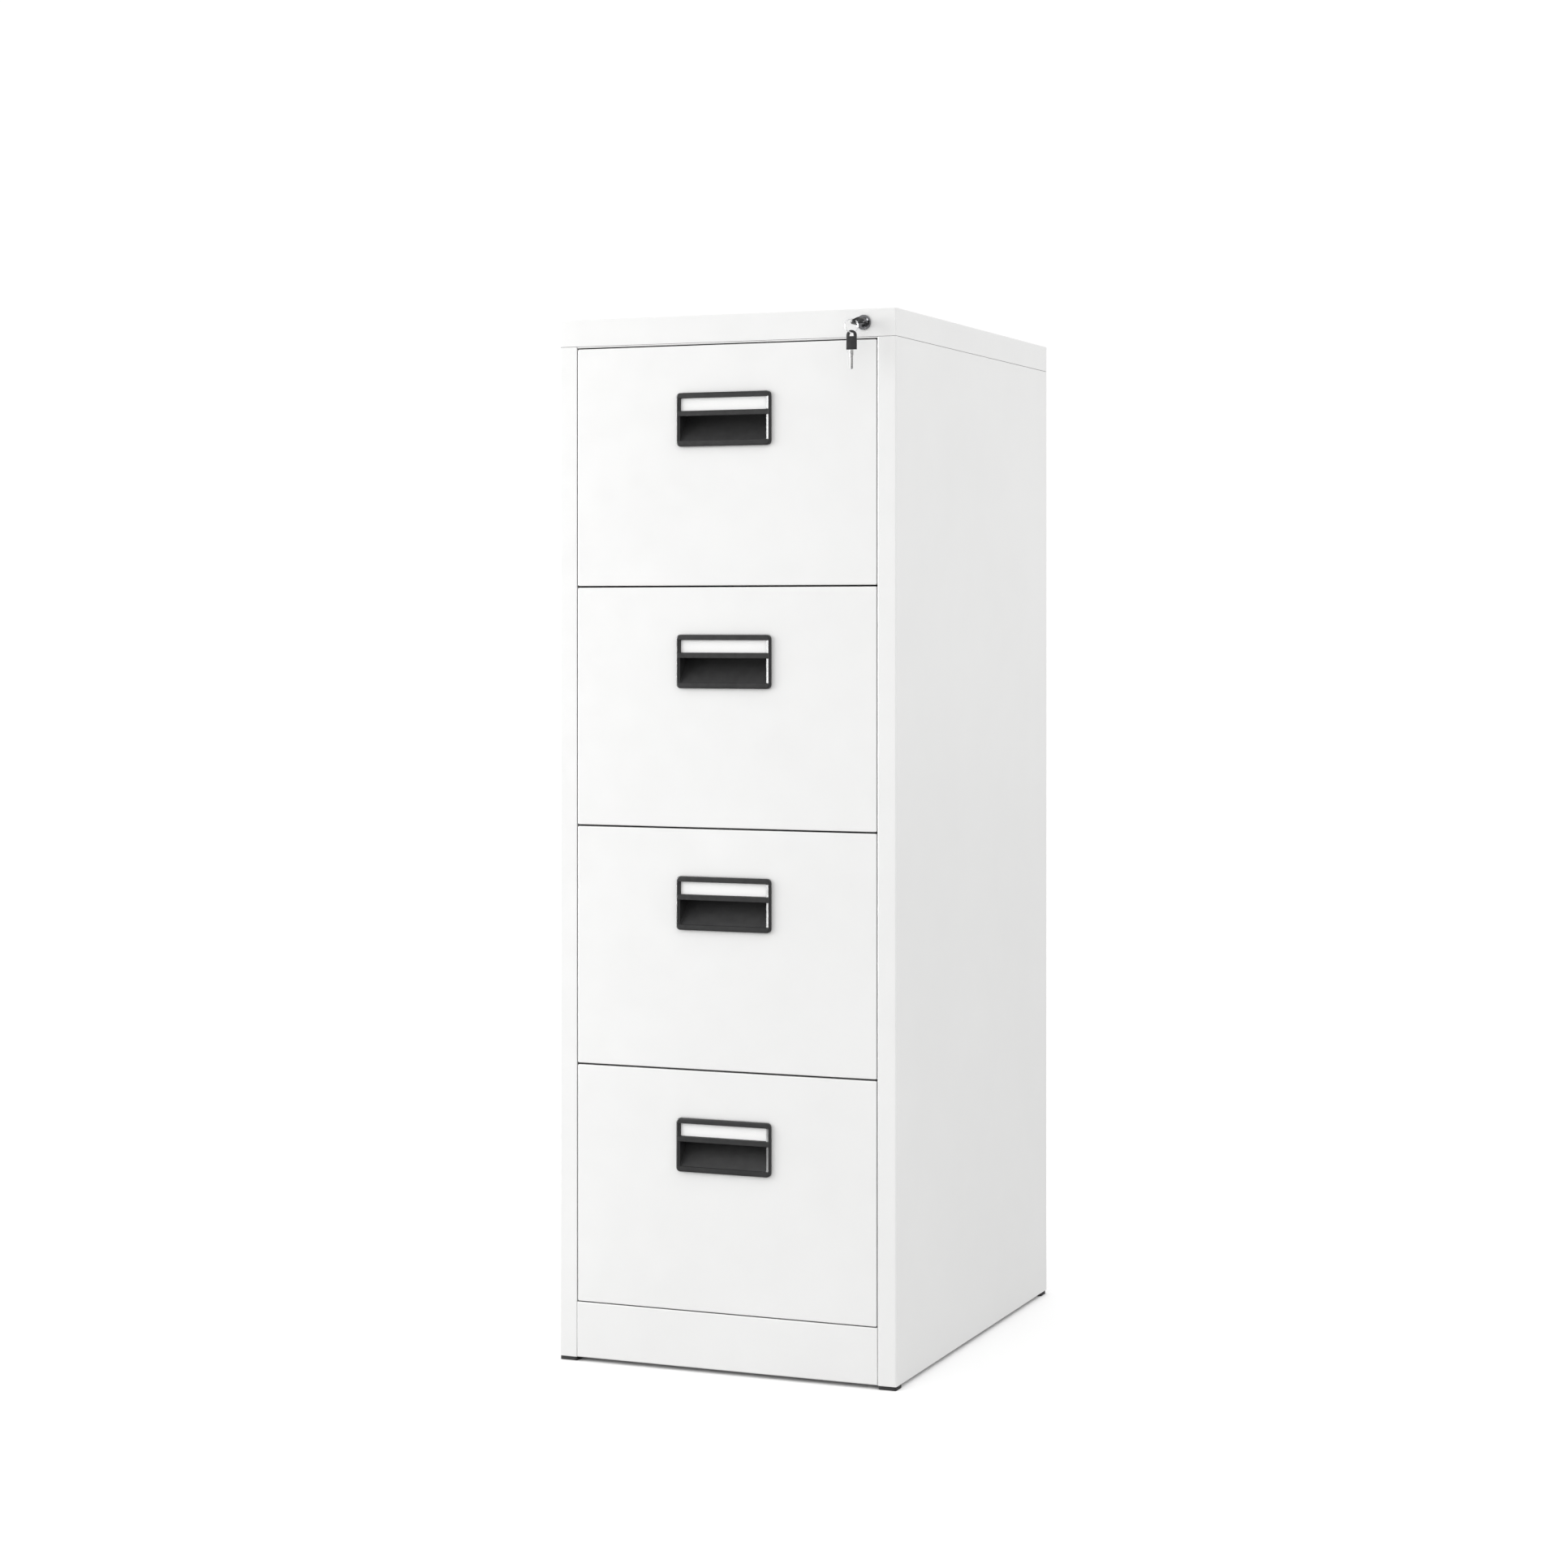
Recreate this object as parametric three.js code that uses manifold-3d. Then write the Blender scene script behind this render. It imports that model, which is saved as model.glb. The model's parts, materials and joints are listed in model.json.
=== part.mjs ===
// Four-drawer metal filing cabinet. Millimetres, +Z up, front towards -Y, drawer 1 at the top.
// The origin is under the middle of the whole part's box, at floor level.
import * as THREE from 'three';
import { mergeVertices } from 'three/addons/utils/BufferGeometryUtils.js';
import Module from 'manifold-3d';

const wasm = await Module();
wasm.setup();

// ---------------------------------------------------------------- driving dimensions

const seatGap = 0.3; // left between pieces that touch
const seamGap = 0.4; // left where two outer skins meet edge to edge
const drawerCount = 4;

const shell = { width: 460, depth: 620, height: 1330, sheet: 1, bend: 2, fold: 1.4 };
const stile = { width: 24.7, flange: 13, rearFlange: 15 };
const cap = { skirt: 35.2 };
const joggle = { height: 24, clearance: 0.6, endInset: 10 };
const header = { show: 2.2, flange: 24, tongue: 30 };
const kick = { height: 71, lift: 1, flange: 20 };
const base = { flange: 20 };
const foot = {
  width: 24,
  depth: 21,
  height: 4.7,
  corner: 2.5,
  sideInset: 0.5,
  frontInset: 1,
  rearInset: 4,
};
const upright = { sheet: 1.5, depth: 30, frontAt: 42, rearAt: 480, topDrop: 10, tie: 40 };

const gaps = { top: 1.3, between: 2, bottom: 1.1, side: 1 };
const front = { depth: 22, sheet: 1, cutoutCorner: 1.6 };
const tray = { sheet: 0.9, length: 542, rise: 14, topDrop: 40, lip: 5, lipTurn: 4 };
const travel = 480; // each drawer comes out this far

const slide = {
  length: 500,
  setback: 33,
  height: 45,
  thickness: 12.7,
  sheet: 1.2,
  ballGap: 2.4,
  webGap: 1.6,
  middleLess: 5.1, // the middle and inner channels are less deep than the whole slide
  innerLess: 6,
  fromOpening: 2.3,
  centreRise: 62,
};

const handle = {
  width: 128.5,
  topBar: 6.7,
  window: 16.1,
  divider: 6.8,
  recess: 31,
  bottomBar: 7.2,
  proud: 5.8,
  corner: 5.5,
  edge: 2.2,
  windowWidth: 118,
  windowDepth: 4.6,
  recessWidth: 118,
  pocketWall: 1.5,
  pocketBackGap: 1.3,
  ledge: 2.4,
  undercut: 4,
  drop: 59.9,
  cutoutClearance: 0.6,
};

const lock = {
  fromSide: 42.5,
  fromTop: 17.7,
  radius: 8,
  length: 21.5,
  flangeReach: 1.3,
  flangeProud: 2.5,
  chamfer: 1,
};
const plug = { radius: 5.7, clearance: 0.3, faceInset: 0.5, tailRadius: 3.5, tailLength: 6 };
const nut = { wall: 2.5, thickness: 4 };
const crank = {
  arm: 8,
  thickness: 2.5,
  setback: 1.5,
  hubWall: 3,
  tipWall: 2,
  pinRadius: 2,
  pinLength: 6.5,
  swing: 90,
};
const lockBar = { thickness: 2, width: 14.5, fromSide: 16, arm: 12, armEnd: 3, slotClearance: 0.6 };
const hook = { height: 10, thickness: 2.5, gapBelow: 1.5, gapAhead: 1.5, gapInside: 1.2, tail: 10 };
const catchPlate = { reach: 9.7, length: 18, height: 10, base: 1.5, tongue: 2.5, gapAbove: 1.5 };
const guide = { wall: 3, skin: 1, clearance: 0.5, height: 16, aboveSlide: 40 };
const key = {
  headLength: 24,
  headWidth: 13.4,
  headThickness: 2.6,
  neck: 9.2,
  bladeWidth: 3.4,
  bladeThickness: 1.6,
};
const keyhole = { width: 6, length: 5, fromEnd: 2.6 };
const keyway = { clearance: 0.3, depth: 15, lean: 60 }; // lean is from upright, drawers unlocked

// ---------------------------------------------------------------- places worked out from them

const halfWidth = shell.width / 2;
const frontY = -shell.depth / 2;
const backY = shell.depth / 2;
const shellBottom = foot.height + seatGap;
const shellTop = shellBottom + shell.height;
const seamZ = shellTop - cap.skirt;
const openingTop = seamZ - header.show;
const openingHalf = halfWidth - stile.width;
const kickTop = shellBottom + kick.height;
const lowestFront = kickTop + gaps.bottom;
const frontHeight =
  (openingTop - gaps.top - lowestFront - (drawerCount - 1) * gaps.between) / drawerCount;
const frontHalf = openingHalf - gaps.side;
const railHalf = openingHalf - seatGap;

// A drawer's own heights, counted from the floor.
function drawerPlaces(number) {
  const bottom = lowestFront + (drawerCount - number) * (frontHeight + gaps.between);
  const top = bottom + frontHeight;
  const slideZ = bottom + slide.centreRise;
  return {
    bottom,
    top,
    trayBottom: bottom + tray.rise,
    trayTop: top - tray.topDrop,
    slideZ,
    catchTop: slideZ - slide.height / 2 - catchPlate.gapAbove,
    handleTop: top - handle.drop,
  };
}

const drawerNumbers = Array.from({ length: drawerCount }, (_, i) => i + 1);

// The slides fill the space between the uprights and the tray.
const innerSkin = shell.sheet + joggle.clearance + shell.sheet;
const slideOuterX = openingHalf - slide.fromOpening;
const slideInnerX = slideOuterX - slide.thickness;
const trayHalf = slideInnerX - seatGap;
const uprightX = slideOuterX + seatGap;
const uprightOuterX = halfWidth - innerSkin - seatGap;
const slideFrontY = frontY + slide.setback;

const trayFrontY = frontY + front.depth + seatGap;
const trayBackY = trayFrontY + tray.length;
const backPanelY = backY - shell.sheet - seatGap;

const lockX = halfWidth - lock.fromSide;
const lockZ = shellTop - lock.fromTop;
const lockBackY = frontY + lock.length;
const barX = halfWidth - lockBar.fromSide;
const barBackY = slideFrontY - hook.gapAhead;
const barFrontY = barBackY - lockBar.width;
const restAngle = -crank.swing / 2;
const pinX = lockX + crank.arm * Math.cos(THREE.MathUtils.degToRad(restAngle));
const pinZ = lockZ + crank.arm * Math.sin(THREE.MathUtils.degToRad(restAngle));
const keyEndY = frontY - lock.flangeProud - key.neck - key.headLength;
const frameShift = (frontY - keyEndY) / 2; // centres the box, key included, on Y

// ---------------------------------------------------------------- finishes

const finishes = {
  whitePaint: { color: 0xeeeeec, roughness: 0.42, metalness: 0 },
  zincSteel: { color: 0xb9bdc1, roughness: 0.36, metalness: 0.9 },
  blackPlastic: { color: 0x1c1c1e, roughness: 0.42, metalness: 0 },
  darkChrome: { color: 0x8c8f94, roughness: 0.14, metalness: 1 },
  keySteel: { color: 0xa9abad, roughness: 0.3, metalness: 1 },
  barSteel: { color: 0x9fa3a6, roughness: 0.45, metalness: 0.9 },
  footPlastic: { color: 0x1a1a1b, roughness: 0.6, metalness: 0 },
};

// ---------------------------------------------------------------- shape helpers

// An outline drawn in two axes, pushed out between two places along the third.
const axisBases = {
  x: new THREE.Matrix4().makeBasis(
    new THREE.Vector3(0, 1, 0),
    new THREE.Vector3(0, 0, 1),
    new THREE.Vector3(1, 0, 0),
  ),
  y: new THREE.Matrix4().makeBasis(
    new THREE.Vector3(1, 0, 0),
    new THREE.Vector3(0, 0, 1),
    new THREE.Vector3(0, -1, 0),
  ),
  z: new THREE.Matrix4(),
};

function shapeOf(outline, holes = []) {
  const shape = outline instanceof THREE.Shape
    ? outline
    : new THREE.Shape(outline.map(([u, v]) => new THREE.Vector2(u, v)));
  shape.holes.push(...holes);
  return shape;
}

// Outlines are (y, z) for x, (x, z) for y and (x, y) for z.
function pushed(axis, outline, from, to, { holes = [], steps = 4 } = {}) {
  const geometry = new THREE.ExtrudeGeometry(shapeOf(outline, holes), {
    depth: to - from,
    bevelEnabled: false,
    curveSegments: steps,
  });
  geometry.applyMatrix4(axisBases[axis]);
  const start = axis === 'y' ? to : from;
  return geometry.translate(
    axis === 'x' ? start : 0,
    axis === 'y' ? start : 0,
    axis === 'z' ? start : 0,
  );
}

function block(x, y, z) {
  const geometry = new THREE.BoxGeometry(x[1] - x[0], y[1] - y[0], z[1] - z[0]);
  return geometry.translate((x[0] + x[1]) / 2, (y[0] + y[1]) / 2, (z[0] + z[1]) / 2);
}

function roundedRectangle(left, right, low, high, radius) {
  const shape = new THREE.Shape();
  shape.moveTo(left + radius, low);
  shape.absarc(right - radius, low + radius, radius, -Math.PI / 2, 0, false);
  shape.absarc(right - radius, high - radius, radius, 0, Math.PI / 2, false);
  shape.absarc(left + radius, high - radius, radius, Math.PI / 2, Math.PI, false);
  shape.absarc(left + radius, low + radius, radius, Math.PI, Math.PI * 1.5, false);
  return shape;
}

function circle(x, z, radius) {
  const path = new THREE.Path();
  path.absarc(x, z, radius, 0, Math.PI * 2, false);
  return path;
}

// A turned piece about a line along Y. The profile is [radius, y] pairs and comes forward outside.
function turned(profile, x, z, segments = 32) {
  const points = profile.map(([radius, y]) => new THREE.Vector2(radius, y)).reverse();
  return new THREE.LatheGeometry(points, segments).translate(x, 0, z);
}

// ---------------------------------------------------------------- joining and cutting

// Corners are set on a fine grid, so that faces meant to be level with each other are exactly so.
const grid = 0.001;
const overlap = 1; // how far two bodies run into each other where they are joined

function solidOf(geometry) {
  const bare = geometry.clone();
  bare.deleteAttribute('normal');
  bare.deleteAttribute('uv');
  const place = bare.attributes.position;
  place.array.forEach((value, i) => {
    place.array[i] = Math.round(value / grid) * grid;
  });
  const merged = mergeVertices(bare, grid / 2);
  return new wasm.Manifold(
    new wasm.Mesh({
      numProp: 3,
      vertProperties: new Float32Array(merged.attributes.position.array),
      triVerts: new Uint32Array(merged.index.array),
    }),
  );
}

function geometryOf(solid) {
  const mesh = solid.getMesh();
  const geometry = new THREE.BufferGeometry();
  geometry.setAttribute('position', new THREE.BufferAttribute(mesh.vertProperties, 3));
  geometry.setIndex(new THREE.BufferAttribute(mesh.triVerts, 1));
  return geometry;
}

function joined(first, ...others) {
  const solid = others.reduce((sum, next) => sum.add(solidOf(next)), solidOf(first));
  return geometryOf(solid);
}

function cut(body, ...tools) {
  const solid = tools.reduce((rest, tool) => rest.subtract(solidOf(tool)), solidOf(body));
  return geometryOf(solid);
}

// A plate with the edges of one face rounded over: the front face along Y, the top face along Z.
function roundedPlate(axis, across, up, corner, flat, face, edge) {
  const outline = roundedRectangle(
    across[0] + edge,
    across[1] - edge,
    up[0] + edge,
    up[1] - edge,
    corner - edge,
  );
  const plate = new THREE.ExtrudeGeometry(outline, {
    depth: Math.abs(face - flat) - edge,
    bevelEnabled: true,
    bevelThickness: edge,
    bevelSize: edge,
    bevelSegments: 3,
    curveSegments: 4,
  });
  plate.applyMatrix4(axisBases[axis]);
  if (axis === 'y') {
    return cut(plate.translate(0, flat, 0), block(across, [flat, flat + 2 * edge], up));
  }
  return cut(plate.translate(0, 0, flat), block(across, up, [flat - 2 * edge, flat]));
}

// ---------------------------------------------------------------- the cabinet as a scene graph

const cabinet = new THREE.Group();
cabinet.position.y = frameShift;

function addPiece(name, geometry, finish) {
  const flat = geometry.index ? geometry.toNonIndexed() : geometry;
  flat.computeVertexNormals();
  const mesh = new THREE.Mesh(flat, new THREE.MeshStandardMaterial(finishes[finish]));
  mesh.name = name;
  cabinet.add(mesh);
}

const sides = [
  { word: 'left', sign: -1 },
  { word: 'right', sign: 1 },
];

// Two places on one side of the cabinet, in rising order.
function sideSpan(sign, near, far) {
  return sign > 0 ? [near, far] : [-far, -near];
}

// ---------------------------------------------------------------- shell

// One sheet folded into a stile at the front, a wall and a narrow flange at the back.
function sidePanel(sign) {
  const wall = halfWidth - shell.sheet;
  const flangeEnd = frontY + stile.flange;
  const plan = new THREE.Shape();
  const { bend, fold } = shell;
  plan.moveTo(openingHalf, flangeEnd);
  plan.absarc(openingHalf + fold, frontY + fold, fold, Math.PI, Math.PI * 1.5, false);
  plan.absarc(halfWidth - bend, frontY + bend, bend, -Math.PI / 2, 0, false);
  plan.absarc(halfWidth - bend, backY - bend, bend, 0, Math.PI / 2, false);
  plan.lineTo(halfWidth - stile.rearFlange, backY);
  plan.lineTo(halfWidth - stile.rearFlange, backY - shell.sheet);
  plan.lineTo(wall, backY - shell.sheet);
  plan.lineTo(wall, frontY + shell.sheet);
  plan.lineTo(openingHalf + shell.sheet, frontY + shell.sheet);
  plan.lineTo(openingHalf + shell.sheet, flangeEnd);
  const top = seamZ - seamGap;
  const tongueOuter = wall - joggle.clearance;
  const along = [frontY + joggle.endInset, backY - joggle.endInset];
  const panel = joined(
    pushed('z', plan, shellBottom, top),
    block([tongueOuter - shell.sheet, halfWidth], along, [top - shell.sheet, top]),
    block([tongueOuter - shell.sheet, tongueOuter], along, [top - shell.sheet, top + joggle.height]),
  );
  return sign > 0 ? panel : mirrored(panel);
}

// The same piece on the other side, with its faces still pointing out.
function mirrored(geometry) {
  const twin = geometry.index ? geometry.toNonIndexed() : geometry.clone();
  const place = twin.attributes.position;
  for (let i = 0; i < place.count; i += 3) {
    const corner = [0, 1, 2].map((k) => [place.getX(i + k), place.getY(i + k), place.getZ(i + k)]);
    [corner[0], corner[2], corner[1]].forEach(([x, y, z], k) => place.setXYZ(i + k, -x, y, z));
  }
  return twin;
}

for (const side of sides) {
  addPiece(`${side.word}_side_panel`, sidePanel(side.sign), 'whitePaint');
}

function topCover() {
  const wide = [-halfWidth, halfWidth];
  return cut(
    roundedPlate('z', wide, [frontY, backY], shell.bend, seamZ, shellTop, shell.fold),
    block(
      [-halfWidth + shell.sheet, halfWidth - shell.sheet],
      [frontY + shell.sheet, backY - shell.sheet],
      [seamZ - shell.sheet, shellTop - shell.sheet],
    ),
    pushed('y', new THREE.Shape(circle(lockX, lockZ, lock.radius + seatGap).getPoints(16)),
      frontY - shell.sheet, frontY + 2 * shell.sheet),
  );
}

addPiece('top_cover', topCover(), 'whitePaint');

// The rail closes the opening above the top drawer and stands up behind the cover's skirt.
function headerRail() {
  const tongueFront = frontY + shell.sheet + seamGap;
  const tongueBack = tongueFront + shell.sheet;
  const foldTop = seamZ - seamGap;
  const section = new THREE.Shape();
  section.moveTo(frontY + header.flange, openingTop);
  section.lineTo(frontY + header.flange, openingTop + shell.sheet);
  section.lineTo(tongueBack, openingTop + shell.sheet);
  section.lineTo(tongueBack, seamZ + header.tongue);
  section.lineTo(tongueFront, seamZ + header.tongue);
  section.lineTo(tongueFront, foldTop);
  section.lineTo(frontY, foldTop);
  section.absarc(
    frontY + shell.fold,
    openingTop + shell.fold,
    shell.fold,
    Math.PI,
    Math.PI * 1.5,
    false,
  );
  return cut(
    pushed('x', section, -railHalf, railHalf),
    pushed('y', new THREE.Shape(circle(lockX, lockZ, lock.radius + seatGap).getPoints(16)),
      frontY, tongueBack + shell.sheet),
  );
}

addPiece('header_rail', headerRail(), 'whitePaint');

const kickSection = new THREE.Shape();
kickSection.moveTo(frontY, shellBottom + kick.lift);
kickSection.lineTo(frontY + shell.sheet, shellBottom + kick.lift);
kickSection.lineTo(frontY + shell.sheet, kickTop - shell.sheet);
kickSection.lineTo(frontY + kick.flange, kickTop - shell.sheet);
kickSection.lineTo(frontY + kick.flange, kickTop);
kickSection.absarc(
  frontY + shell.fold,
  kickTop - shell.fold,
  shell.fold,
  Math.PI / 2,
  Math.PI,
  false,
);
addPiece('kick_plate', pushed('x', kickSection, -railHalf, railHalf), 'whitePaint');

addPiece(
  'back_panel',
  block(
    [-halfWidth + shell.sheet + joggle.clearance, halfWidth - shell.sheet - joggle.clearance],
    [backPanelY - shell.sheet, backPanelY],
    [shellBottom + seatGap, seamZ + joggle.height],
  ),
  'whitePaint',
);

// A shallow tray between the side panels, narrowed at the front to pass between the stiles.
function basePanel() {
  const wide = halfWidth - shell.sheet - seamGap;
  const narrowEnd = frontY + stile.flange + seatGap;
  const frontEdge = frontY + shell.sheet + seamGap;
  const backEdge = backPanelY - shell.sheet - seatGap;
  const plan = [
    [-railHalf, frontEdge],
    [railHalf, frontEdge],
    [railHalf, narrowEnd],
    [wide, narrowEnd],
    [wide, backEdge],
    [-wide, backEdge],
    [-wide, narrowEnd],
    [-railHalf, narrowEnd],
  ];
  const upright = [shellBottom, shellBottom + base.flange];
  return joined(
    pushed('z', plan, shellBottom, shellBottom + shell.sheet),
    block([-railHalf, railHalf], [frontEdge, frontEdge + shell.sheet], upright),
    block([-wide, wide], [backEdge - shell.sheet, backEdge], upright),
    block([-wide, -wide + shell.sheet], [narrowEnd, backEdge], upright),
    block([wide - shell.sheet, wide], [narrowEnd, backEdge], upright),
  );
}

addPiece('base_panel', basePanel(), 'whitePaint');

for (const side of sides) {
  const [left, right] = sideSpan(
    side.sign,
    halfWidth - foot.sideInset - foot.width,
    halfWidth - foot.sideInset,
  );
  const ends = {
    front: frontY + foot.frontInset,
    rear: backY - foot.rearInset - foot.depth,
  };
  for (const [end, y] of Object.entries(ends)) {
    const outline = roundedRectangle(left, right, y, y + foot.depth, foot.corner);
    addPiece(`${end}_${side.word}_foot`, pushed('z', outline, 0, foot.height), 'footPlastic');
  }
}

// A frame on each side carries the slides: two channel posts, open towards the side panel, with a
// tie across them at the top and at the foot.
const postTop = openingTop - upright.topDrop;
const postLow = shellBottom + shell.sheet + seatGap;

function channelPost(y) {
  const web = uprightX + upright.sheet;
  const section = [
    [uprightX, y],
    [uprightOuterX, y],
    [uprightOuterX, y + upright.sheet],
    [web, y + upright.sheet],
    [web, y + upright.depth - upright.sheet],
    [uprightOuterX, y + upright.depth - upright.sheet],
    [uprightOuterX, y + upright.depth],
    [uprightX, y + upright.depth],
  ];
  return pushed('z', section, postLow, postTop);
}

function slideFrame() {
  const posts = [upright.frontAt, upright.rearAt].map((inset) => channelPost(frontY + inset));
  const tieY = [
    frontY + upright.frontAt + upright.depth - upright.sheet / 2,
    frontY + upright.rearAt + upright.sheet / 2,
  ];
  const heights = [
    [postLow, postLow + upright.tie],
    [postTop - upright.tie, postTop],
  ];
  const ties = heights.map((height) => block([uprightX, uprightX + upright.sheet], tieY, height));
  return joined(...posts, ...ties);
}

addPiece('right_slide_frame', slideFrame(), 'zincSteel');
addPiece('left_slide_frame', mirrored(slideFrame()), 'zincSteel');

// ---------------------------------------------------------------- drawer slides

// Three channels nest in each other: the outer one on the frame, the inner one on the tray.
const slideMembers = {
  outer: { web: slideOuterX, reach: slide.thickness - slide.sheet, height: slide.height, opens: -1 },
  middle: {
    web: slideOuterX - slide.sheet - slide.webGap,
    reach: slide.thickness - slide.middleLess,
    height: slide.height - 2 * (slide.sheet + slide.ballGap),
    opens: -1,
  },
  inner: {
    web: slideInnerX,
    reach: slide.thickness - slide.innerLess,
    height: slide.height - 4 * (slide.sheet + slide.ballGap),
    opens: 1,
  },
};

function slideMember(member, sign, centreZ) {
  const half = member.height / 2;
  const web = member.web;
  const inside = web + member.opens * slide.sheet;
  const tip = web + member.opens * member.reach;
  const section = [
    [web, centreZ - half],
    [tip, centreZ - half],
    [tip, centreZ - half + slide.sheet],
    [inside, centreZ - half + slide.sheet],
    [inside, centreZ + half - slide.sheet],
    [tip, centreZ + half - slide.sheet],
    [tip, centreZ + half],
    [web, centreZ + half],
  ].map(([x, z]) => [sign * x, z]);
  return pushed('y', section, slideFrontY, slideFrontY + slide.length);
}

for (const number of drawerNumbers) {
  const { slideZ } = drawerPlaces(number);
  for (const side of sides) {
    for (const [word, member] of Object.entries(slideMembers)) {
      const name = `drawer_${number}_${side.word}_${word}_slide`;
      addPiece(name, slideMember(member, side.sign, slideZ), 'zincSteel');
    }
  }
}

// ---------------------------------------------------------------- drawers

function handlePlaces(number) {
  const { handleTop } = drawerPlaces(number);
  const windowTop = handleTop - handle.topBar;
  const windowBottom = windowTop - handle.window;
  const recessTop = windowBottom - handle.divider;
  const recessBottom = recessTop - handle.recess;
  return {
    top: handleTop,
    windowTop,
    windowBottom,
    recessTop,
    recessBottom,
    bottom: recessBottom - handle.bottomBar,
    pocketHalf: handle.recessWidth / 2 + handle.pocketWall,
    pocketBottom: recessBottom - handle.pocketWall,
    pocketTop: recessTop + handle.undercut + handle.pocketWall,
    pocketBack: frontY + front.depth - handle.pocketBackGap,
  };
}

function drawerFront(number) {
  const { bottom, top } = drawerPlaces(number);
  const place = handlePlaces(number);
  const sheet = front.sheet;
  const opening = roundedRectangle(
    -place.pocketHalf - handle.cutoutClearance,
    place.pocketHalf + handle.cutoutClearance,
    place.pocketBottom - handle.cutoutClearance,
    place.pocketTop + handle.cutoutClearance,
    front.cutoutCorner,
  );
  const frontBack = frontY + front.depth;
  const { bend, fold } = shell;
  return cut(
    roundedPlate('y', [-frontHalf, frontHalf], [bottom, top], bend, frontBack, frontY, fold),
    block(
      [-frontHalf + sheet, frontHalf - sheet],
      [frontY + sheet, frontBack + sheet],
      [bottom + sheet, top - sheet],
    ),
    pushed('y', opening, frontY - sheet, frontY + 2 * sheet),
  );
}

function drawerTray(number) {
  const { trayBottom, trayTop } = drawerPlaces(number);
  const sheet = tray.sheet;
  const hollow = cut(
    block([-trayHalf, trayHalf], [trayFrontY, trayBackY], [trayBottom, trayTop]),
    block(
      [-trayHalf + sheet, trayHalf - sheet],
      [trayFrontY + sheet, trayBackY - sheet],
      [trayBottom + sheet, trayTop + sheet],
    ),
  );
  const lipOuter = trayHalf + tray.lip;
  const lips = sides.flatMap((side) => [
    block(
      sideSpan(side.sign, trayHalf - sheet, lipOuter),
      [trayFrontY, trayBackY],
      [trayTop - sheet, trayTop],
    ),
    block(
      sideSpan(side.sign, lipOuter - sheet, lipOuter),
      [trayFrontY, trayBackY],
      [trayTop - tray.lipTurn, trayTop],
    ),
  ]);
  return joined(hollow, ...lips);
}

// A moulded frame stands proud of the front; its lower opening leads into a wedge-shaped pocket.
function drawerHandle(number) {
  const place = handlePlaces(number);
  const half = handle.width / 2;
  const frameFront = frontY - handle.proud;
  const frameBack = frontY - seatGap;
  const { corner, edge } = handle;
  const frame = roundedPlate(
    'y',
    [-half, half],
    [place.bottom, place.top],
    corner,
    frameBack,
    frameFront,
    edge,
  );
  const pocket = block(
    [-place.pocketHalf, place.pocketHalf],
    [frameBack - edge, place.pocketBack],
    [place.pocketBottom, place.pocketTop],
  );
  const deep = place.pocketBack - handle.pocketWall;
  const recessHalf = handle.recessWidth / 2;
  const hollow = [
    [frameFront - edge, place.recessBottom],
    [frameFront + handle.ledge, place.recessBottom],
    [deep, place.recessTop - handle.undercut],
    [deep, place.recessTop + handle.undercut],
    [frameBack, place.recessTop + handle.undercut],
    [frameFront + handle.ledge, place.recessTop],
    [frameFront - edge, place.recessTop],
  ];
  const windowHalf = handle.windowWidth / 2;
  return geometryOf(
    solidOf(frame)
      .add(solidOf(pocket))
      .subtract(solidOf(pushed('x', hollow, -recessHalf, recessHalf)))
      .subtract(
        solidOf(
          block(
            [-windowHalf, windowHalf],
            [frameFront - edge, frameFront + handle.windowDepth],
            [place.windowBottom, place.windowTop],
          ),
        ),
      ),
  );
}

// An angle on the tray's right wall, under the slide, for the locking bar's hook to hold.
function drawerCatch(number) {
  const { catchTop } = drawerPlaces(number);
  const up = [catchTop - catchPlate.height, catchTop];
  const base = block(
    [slideInnerX, slideInnerX + catchPlate.base],
    [slideFrontY, slideFrontY + catchPlate.length],
    up,
  );
  const tongue = block(
    [slideInnerX, slideInnerX + catchPlate.reach],
    [slideFrontY, slideFrontY + catchPlate.tongue],
    up,
  );
  return joined(base, tongue);
}

for (const number of drawerNumbers) {
  addPiece(`drawer_${number}_front`, drawerFront(number), 'whitePaint');
  addPiece(`drawer_${number}_tray`, drawerTray(number), 'whitePaint');
  addPiece(`drawer_${number}_handle`, drawerHandle(number), 'blackPlastic');
  addPiece(`drawer_${number}_catch`, drawerCatch(number), 'zincSteel');
}

// ---------------------------------------------------------------- lock, key and locking bar

function lockBarrel() {
  const bore = plug.radius + plug.clearance;
  const flangeBack = frontY - seatGap;
  const flangeFront = frontY - lock.flangeProud;
  const flangeRadius = lock.radius + lock.flangeReach;
  return turned(
    [
      [bore, flangeFront],
      [bore, lockBackY],
      [lock.radius, lockBackY],
      [lock.radius, flangeBack],
      [flangeRadius, flangeBack],
      [flangeRadius, flangeFront + lock.chamfer],
      [flangeRadius - lock.chamfer, flangeFront],
      [bore, flangeFront],
    ],
    lockX,
    lockZ,
  );
}

addPiece('lock_barrel', lockBarrel(), 'darkChrome');

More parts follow.
